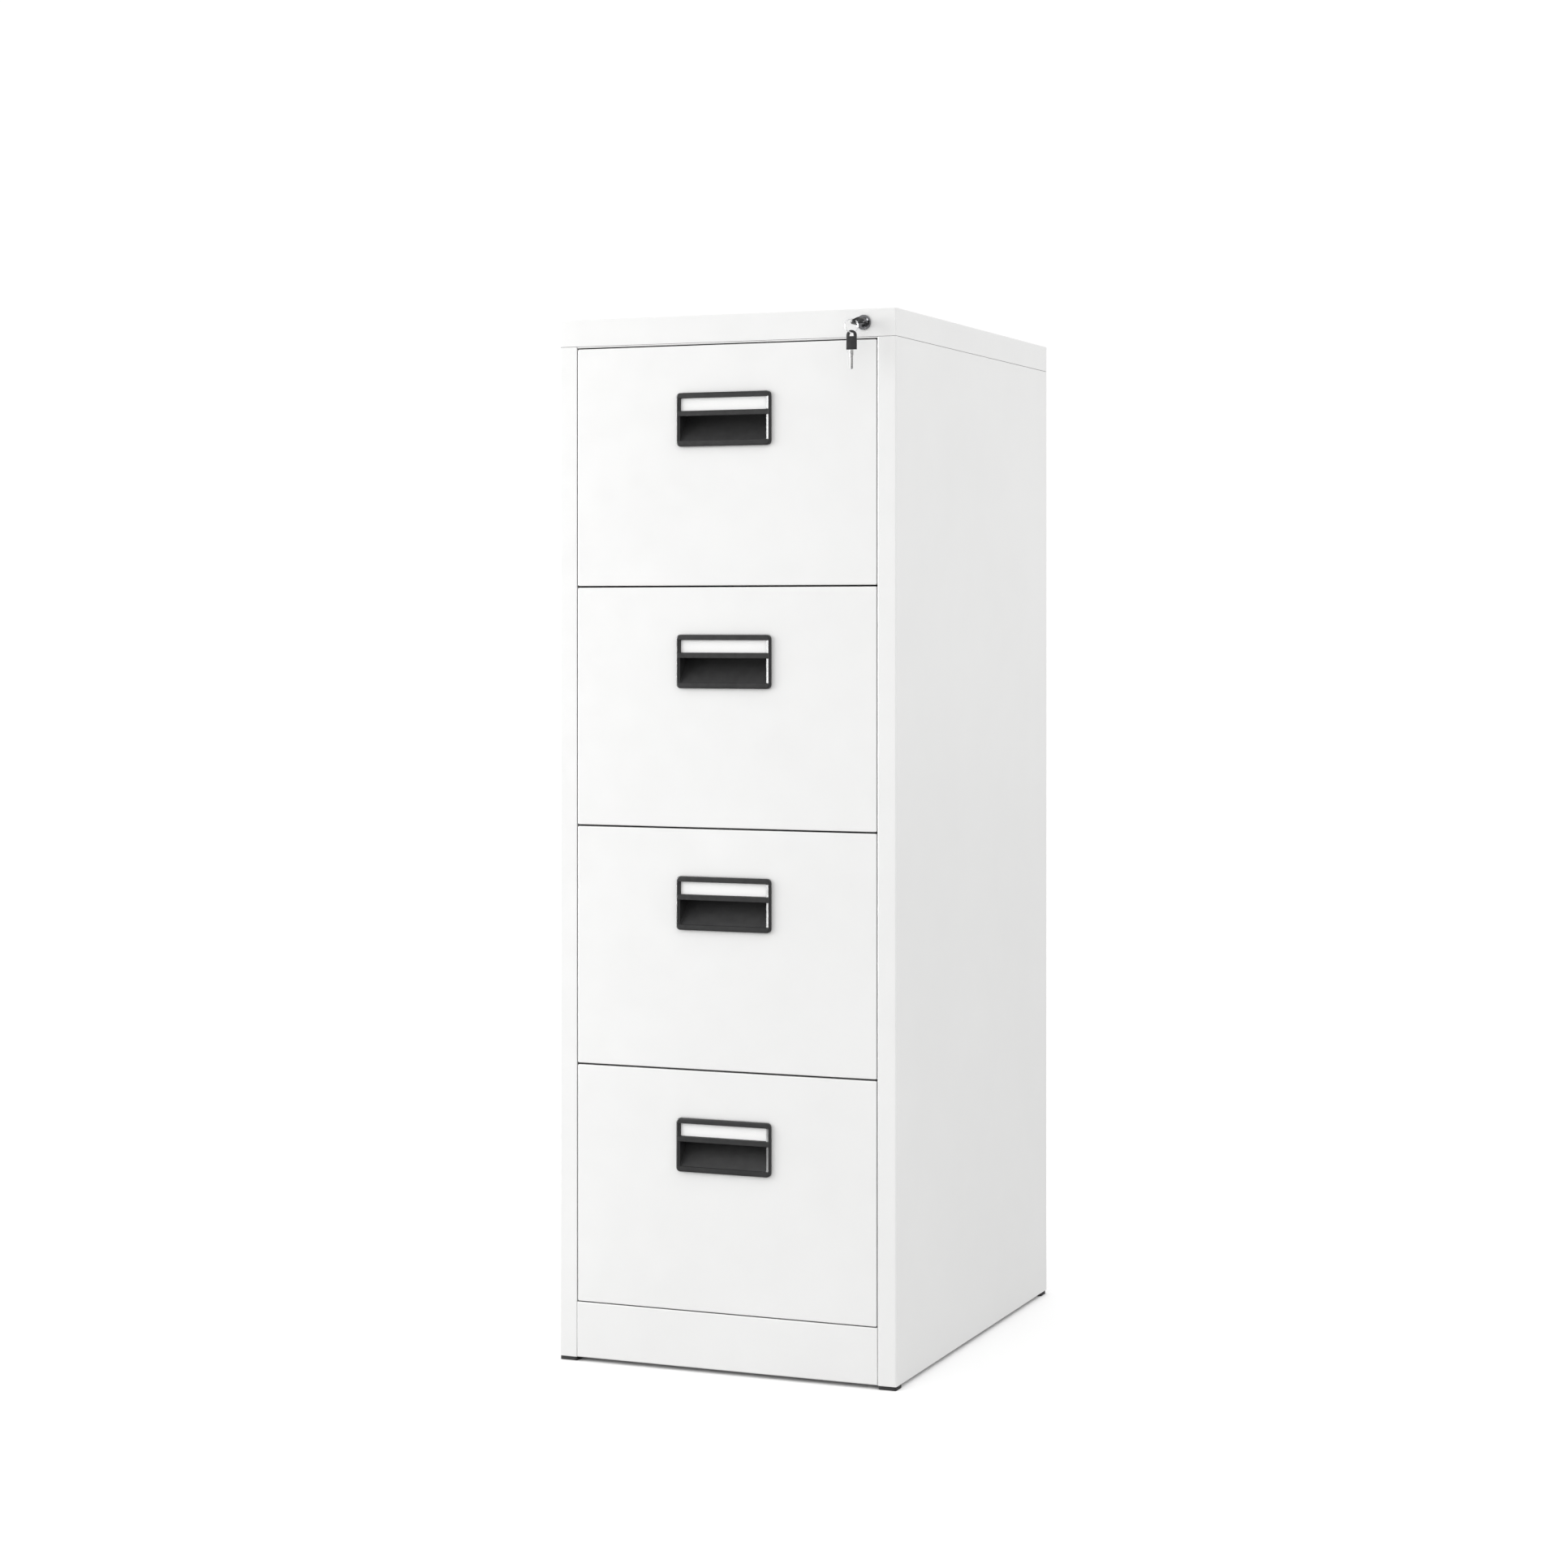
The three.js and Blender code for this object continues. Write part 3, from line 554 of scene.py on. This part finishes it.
def makePull(number):
    low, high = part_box(f"drawer_{number}_handle")
    front = low.y
    frameBack = front + pull["frameDepth"]
    deep = high.y - pull["wall"]
    windowTop = high.z - pull["topBar"]
    windowLow = windowTop - pull["window"]
    recessTop = windowLow - pull["divider"]
    recessLow = recessTop - pull["recess"]
    bm = bmesh.new()

    outer = [roundedRing(bm, (low.x, high.x), (low.z, high.z), pull["corner"], frameBack)]
    for angle in quarter(pull["steps"]):
        inset = pull["edge"] * (1 - math.cos(angle))
        y = front + pull["edge"] * (1 - math.sin(angle))
        across = (low.x + inset, high.x - inset)
        up = (low.z + inset, high.z - inset)
        outer.append(roundedRing(bm, across, up, pull["corner"] - inset, y))
    skin(bm, outer)

    window = openingRings(bm, (windowLow, windowTop), front)
    half = pull["openingWidth"] / 2
    floorY = front + pull["windowDepth"]
    window.append(
        roundedRing(bm, (-half, half), (windowLow, windowTop), pull["innerCorner"], floorY)
    )
    skin(bm, window)
    flatFill(bm, window[-1])

    recess = openingRings(bm, (recessLow, recessTop), front)
    half = pull["recessWidth"] / 2
    slopeLow = (front + pull["ledge"], recessLow)
    slopeHigh = (deep, recessTop - pull["undercut"])
    rise = (slopeHigh[1] - slopeLow[1]) / (slopeHigh[0] - slopeLow[0])
    pocketTop = recessTop + pull["undercut"]
    stations = [
        (slopeLow[0], slopeLow[1], recessTop),
        (frameBack, slopeLow[1] + rise * (frameBack - slopeLow[0]), pocketTop),
        (deep, slopeHigh[1], pocketTop),
    ]
    for y, bottom, top in stations:
        recess.append(roundedRing(bm, (-half, half), (bottom, top), pull["innerCorner"], y))
    skin(bm, recess)
    flatFill(bm, recess[-1])
    flatFill(bm, outer[-1], window[0], recess[0])

    across = (-half - pull["wall"], half + pull["wall"])
    up = (recessLow - pull["wall"], pocketTop + pull["wall"])
    pocket = [roundedRing(bm, across, up, pull["innerCorner"], y) for y in (frameBack, high.y)]
    skin(bm, pocket)
    flatFill(bm, pocket[-1])
    flatFill(bm, outer[0], pocket[0])
    piece = newPiece(f"pull_{number}", bm, "black_plastic", f"drawer_{number}")
    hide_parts(f"drawer_{number}_handle")


label = {"thickness": 0.35 * mm, "inset": 0.25 * mm, "corner": 0.8 * mm, "sink": 0.05 * mm}


def makeLabel(number):
    low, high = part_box(f"drawer_{number}_handle")
    half = pull["openingWidth"] / 2 - label["inset"]
    windowTop = high.z - pull["topBar"]
    middle = windowTop - pull["window"] / 2
    tall = pull["window"] / 2 - label["inset"]
    seat = low.y + pull["windowDepth"] - label["sink"]
    bm = bmesh.new()
    rings = [
        roundedRing(bm, (-half, half), (middle - tall, middle + tall), label["corner"], y, 3)
        for y in (seat, seat - label["thickness"])
    ]
    skin(bm, rings)
    flatFill(bm, rings[0])
    flatFill(bm, rings[1])
    newPiece(f"label_card_{number}", bm, "card", f"drawer_{number}")


for number in drawers:
    makePull(number)
    makeLabel(number)
print("pulls and labels made")


# lock: a turned collar, and the key that stays in it
collar = {
    "flangeLip": 0.7 * mm,
    "flangeReach": 1.3 * mm,
    "clearance": 0.3 * mm,  # to the plug inside it and the panel behind its flange
    "dish": 0.5 * mm,
    "thread": 1.0 * mm,
    "threadDepth": 0.35 * mm,
    "steps": 5,
}


def makeCollar():
    low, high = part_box("lock_barrel")
    plugLow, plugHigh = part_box("lock_plug")
    panelLow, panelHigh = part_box("top_cover")
    centre = Vector(((low.x + high.x) / 2, 0, (low.z + high.z) / 2))
    flange = (high.x - low.x) / 2
    bore = (plugHigh.x - plugLow.x) / 2 + collar["clearance"]
    barrel = flange - collar["flangeReach"]
    back = panelLow.y - collar["clearance"]
    lip = collar["flangeLip"]
    profile = [(bore, high.y), (bore, low.y + collar["dish"]), (bore + collar["dish"], low.y)]
    for angle in quarter(collar["steps"]):
        radius = flange - lip * (1 - math.sin(angle))
        profile.append((radius, low.y + lip * (1 - math.cos(angle))))
    profile += [(flange, back), (barrel, back)]
    along = back + collar["thread"]
    while along < high.y - collar["thread"]:
        profile += [
            (barrel, along),
            (barrel - collar["threadDepth"], along + collar["thread"] / 2),
        ]
        along += collar["thread"]
    profile += [(barrel, high.y), (bore, high.y)]
    bm = bmesh.new()
    turnedPiece(bm, profile, centre)
    piece = newPiece("lock_collar", bm, "dark_chrome", "cabinet")
    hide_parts("lock_barrel")


key = {
    "head": 24 * mm,
    "width": 13.4 * mm,
    "thickness": 2.6 * mm,
    "soft": 0.5 * mm,
    "holeEnd": 2.6 * mm,
    "holeLength": 5 * mm,
    "holeWidth": 6 * mm,
    "root": 3 * mm,  # how much of the blade is set in the head
    "shoulder": 4.4 * mm,
    "shoulderLength": 7 * mm,
    "blade": 3.4 * mm,
    "bladeThickness": 1.6 * mm,
    "bladeSoft": 0.2 * mm,
    "step": 0.5 * mm,
    "cutTop": 1.0 * mm,  # half the width of a cut at its mouth and at its floor
    "cutFloor": 0.4 * mm,
    "cuts": [(0.62, 0.2), (0.5, 0.35), (0.36, 0.15), (0.24, 0.3), (0.12, 0.15)],
    "spareBlade": 24 * mm,
    "tip": 1.7 * mm,
    "lean": 60,  # from upright, about the lock's axis
}


def keyHeadOutlines():
    # u runs from the arched end of the head towards the blade
    half = key["width"] / 2
    head = key["head"]
    outside = [(head, -half), (head, half)] + arc(half, 0, half, half, 90, 270, 20)
    end = key["holeEnd"] + key["holeLength"]
    wide = key["holeWidth"] / 2
    hole = arc(end, 0, key["holeLength"], wide, 90, 270, 14)
    return [outside, hole]


def keyBladeOutline(length):
    start = key["head"] - key["root"]
    shoulderHalf = key["shoulder"] / 2
    shoulderEnd = key["head"] + key["shoulderLength"]
    half = key["blade"] / 2
    end = key["head"] + length
    outline = [(start, shoulderHalf), (shoulderEnd, shoulderHalf), (shoulderEnd + key["step"], half)]
    outline += arc(end - key["tip"], 0, key["tip"], half, 90, -90, 8)
    for share, depth in key["cuts"]:  # along one edge, from the tip; the depths are in mm
        middle = shoulderEnd + share * (end - shoulderEnd)
        floor = -half + depth * mm
        outline += [
            (middle + key["cutTop"], -half),
            (middle + key["cutFloor"], floor),
            (middle - key["cutFloor"], floor),
            (middle - key["cutTop"], -half),
        ]
    outline += [(shoulderEnd + key["step"], -half), (shoulderEnd, -shoulderHalf), (start, -shoulderHalf)]
    return outline


def makeKey(name, place, length, body):
    head = plateFrom(name, keyHeadOutlines(), key["thickness"], key["soft"], place)
    headPiece = newPiece(f"{name}_head", head, "black_plastic", body, 50)
    outlines = [keyBladeOutline(length)]
    blade = plateFrom(name, outlines, key["bladeThickness"], key["bladeSoft"], place)
    bladePiece = newPiece(f"{name}_blade", blade, "nickel", body, smooth=35)
    return headPiece, bladePiece


def makeLockKey():
    low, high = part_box("key")
    middle = (low + high) / 2
    # u to +Y, v to +Z, thickness along X, and then leant over
    upright = Matrix(((0, 0, 1, 0), (1, 0, 0, 0), (0, 1, 0, 0), (0, 0, 0, 1)))
    start = Matrix.Translation((middle.x, low.y, middle.z))
    place = start @ Matrix.Rotation(math.radians(key["lean"]), 4, "Y") @ upright
    length = high.y - low.y - key["head"]
    head, blade = makeKey("key", place, length, "lock_core")
    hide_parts("key")
    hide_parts("key")


# the key ring hangs from the key in the lock, and the spare key from the ring
ring = {
    "radius": 8.5 * mm,
    "wire": 0.6 * mm,
    "turn": 40,
    "fromKey": (-3.5 * mm, 2.15 * mm, -6.7 * mm),  # ring centre from the key's own end
    "turns": 1.9,
    "pitch": 1.25 * mm,
    "start": 200,
    "points": 72,
}


def ringCentre():
    low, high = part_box("key")
    middle = (low + high) / 2
    return Vector((middle.x, low.y, middle.z)) + Vector(ring["fromKey"])


def makeRing():
    centre = ringCentre()
    turn = Matrix.Rotation(math.radians(ring["turn"]), 4, "Z")
    curve = bpy.data.curves.new("key_ring", "CURVE")
    curve.dimensions = "3D"
    curve.bevel_depth = ring["wire"]
    curve.bevel_resolution = 4
    curve.use_fill_caps = True
    count = ring["points"]
    spline = curve.splines.new("POLY")
    spline.points.add(count)
    for i, point in enumerate(spline.points):
        share = i / count
        angle = math.radians(ring["start"]) + 2 * math.pi * ring["turns"] * share
        aside = ring["pitch"] * (share - 0.5)
        local = Vector((ring["radius"] * math.cos(angle), aside, ring["radius"] * math.sin(angle)))
        point.co = (*(centre + turn @ local), 1)
    temporary = bpy.data.objects.new("key_ring", curve)
    mesh = bpy.data.meshes.new_from_object(temporary)
    bm = bmesh.new()
    bm.from_mesh(mesh)
    bpy.data.objects.remove(temporary)
    newPiece("key_ring", bm, "bright_chrome", "cabinet", smooth=60)


def makeSpareKey():
    centre = ringCentre()
    top = centre.z - ring["radius"] + ring["wire"] + key["holeEnd"]
    # u downwards, v to +X, thickness along Y
    place = Matrix(((0, 1, 0, centre.x), (0, 0, 1, centre.y), (-1, 0, 0, top), (0, 0, 0, 1)))
    makeKey("spare_key", place, key["spareBlade"], "cabinet")


makeCollar()
makeLockKey()
makeRing()
makeSpareKey()
print("lock and keys made")


# ball slides: balls held in a bent strip between the channels
balls = {
    "radius": 1.15 * mm,
    "spacing": 14 * mm,
    "length": 180 * mm,
    "fromFront": 22 * mm,
    "strip": 0.6 * mm,
    "sheet": 1.2 * mm,
    "gap": 2.4 * mm,
    "tipIn": 0.8 * mm,
}


def stripSection(number, side, outerWord, innerWord):
    # the strip's own place between two channels: web, arms' ends and heights
    sign = sides[side]
    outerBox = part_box(f"drawer_{number}_{side}_{outerWord}_slide")
    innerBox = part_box(f"drawer_{number}_{side}_{innerWord}_slide")
    farOuter = max(abs(outerBox[0].x), abs(outerBox[1].x)) - balls["sheet"]
    farInner = max(abs(innerBox[0].x), abs(innerBox[1].x))
    nearest = max(min(abs(b[0].x), abs(b[1].x)) for b in (outerBox, innerBox))
    halfGap = balls["gap"] / 2
    return {
        "sign": sign,
        "web": (farOuter + farInner) / 2,
        "tip": nearest + balls["tipIn"],
        "low": innerBox[0].z - halfGap,
        "high": innerBox[1].z + halfGap,
        "front": innerBox[0].y + balls["fromFront"],
    }


def makeCage(number, side, outerWord, innerWord, body):
    place = stripSection(number, side, outerWord, innerWord)
    half = balls["strip"] / 2
    front = place["front"]
    back = front + balls["length"]
    web, tip = place["web"], place["tip"]
    section = [
        (tip, place["low"] - half),
        (web + half, place["low"] - half),
        (web + half, place["high"] + half),
        (tip, place["high"] + half),
        (tip, place["high"] - half),
        (web - half, place["high"] - half),
        (web - half, place["low"] + half),
        (tip, place["low"] + half),
    ]
    bm = bmesh.new()
    ends = [
        [bm.verts.new((place["sign"] * x, y, z)) for x, z in section] for y in (front, back)
    ]
    skin(bm, ends)
    for end in ends:
        bm.faces.new(end)
    name = f"drawer_{number}_{side}_{innerWord}_ball_strip"
    newPiece(name, bm, "zinc_steel", body, 30)

    bm = bmesh.new()
    count = int(balls["length"] / balls["spacing"])
    x = place["sign"] * (web + tip - half) / 2
    for i in range(count):
        y = front + (i + 0.5) * balls["spacing"]
        for z in (place["low"], place["high"]):
            spot = Matrix.Translation((x, y, z))
            bmesh.ops.create_icosphere(bm, subdivisions=2, radius=balls["radius"], matrix=spot)
    newPiece(f"drawer_{number}_{side}_{innerWord}_balls", bm, "ball_steel", body, smooth=80)


for number in drawers:
    for side in sides:
        makeCage(number, side, "outer", "middle", "cabinet")
        makeCage(number, side, "middle", "inner", f"middle_slides_{number}")
print("ball strips made")


# screws and rivets
screw = {
    "radius": 3.6 * mm,
    "height": 1.7 * mm,
    "rim": 0.35,  # share of the height that stands straight
    "crown": 0.55,  # share of the radius that stays flat on top
    "steps": 4,
    "around": 24,
}


def addScrew(bm, at, axis):
    # a pan head; the axis points out of the sheet
    radius, height = screw["radius"], screw["height"]
    rim, crown = screw["rim"], screw["crown"]
    profile = [(0.0, 0.0), (radius, 0.0), (radius, height * rim)]
    for angle in quarter(screw["steps"])[1:]:
        across = radius * (crown + (1 - crown) * math.cos(angle))
        up = height * (rim + (1 - rim) * math.sin(angle))
        profile.append((across, up))
    profile.append((0.0, height))
    turnedPiece(bm, profile, at, axis, screw["around"])


slideScrews = (0.08, 0.5, 0.92)  # shares of the channel's length


def makeSlideScrews(number, side):
    sign = sides[side]
    low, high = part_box(f"drawer_{number}_{side}_inner_slide")
    face = sign * (min(abs(low.x), abs(high.x)) + balls["sheet"])
    middle = (low.z + high.z) / 2
    length = high.y - low.y
    bm = bmesh.new()
    for share in slideScrews:
        addScrew(bm, (face, low.y + share * length, middle), (sign, 0, 0))
    name = f"drawer_{number}_{side}_slide_screws"
    newPiece(name, bm, "zinc_steel", f"drawer_{number}")


frontScrews = {"across": (-150 * mm, 150 * mm), "up": (0.18, 0.82), "sheet": 0.9 * mm}


def makeFrontScrews(number):
    low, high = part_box(f"drawer_{number}_tray")
    bm = bmesh.new()
    for x in frontScrews["across"]:
        for share in frontScrews["up"]:
            z = low.z + share * (high.z - low.z)
            addScrew(bm, (x, low.y + frontScrews["sheet"], z), (0, 1, 0))
    newPiece(f"drawer_{number}_front_screws", bm, "zinc_steel", f"drawer_{number}")


rivets = {"fromEdge": 7.5 * mm, "count": 7, "fromEnd": 45 * mm}


def makeBackRivets(side):
    low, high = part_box(f"{side}_side_panel")
    capLow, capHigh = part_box("top_cover")
    x = sides[side] * (capHigh.x - rivets["fromEdge"])
    top = capLow.z - rivets["fromEnd"]
    bottom = low.z + rivets["fromEnd"]
    bm = bmesh.new()
    for i in range(rivets["count"]):
        z = bottom + (top - bottom) * i / (rivets["count"] - 1)
        addScrew(bm, (x, high.y, z), (0, 1, 0))
    newPiece(f"{side}_back_rivets", bm, "zinc_steel", "cabinet")


for number in drawers:
    makeFrontScrews(number)
    for side in sides:
        makeSlideScrews(number, side)
for side in sides:
    makeBackRivets(side)
print("screws and rivets made")


# floor
def makeFloor():
    bm = bmesh.new()
    reach = studio["floorReach"]
    corners = [(-reach, -reach, 0), (reach, -reach, 0), (reach, reach, 0), (-reach, reach, 0)]
    bm.faces.new([bm.verts.new(corner) for corner in corners])
    mesh = bpy.data.meshes.new("floor")
    bm.to_mesh(mesh)
    bm.free()
    mesh.materials.append(finishes["floor"])
    floor = bpy.data.objects.new("floor", mesh)
    bpy.context.scene.collection.objects.link(floor)


makeFloor()
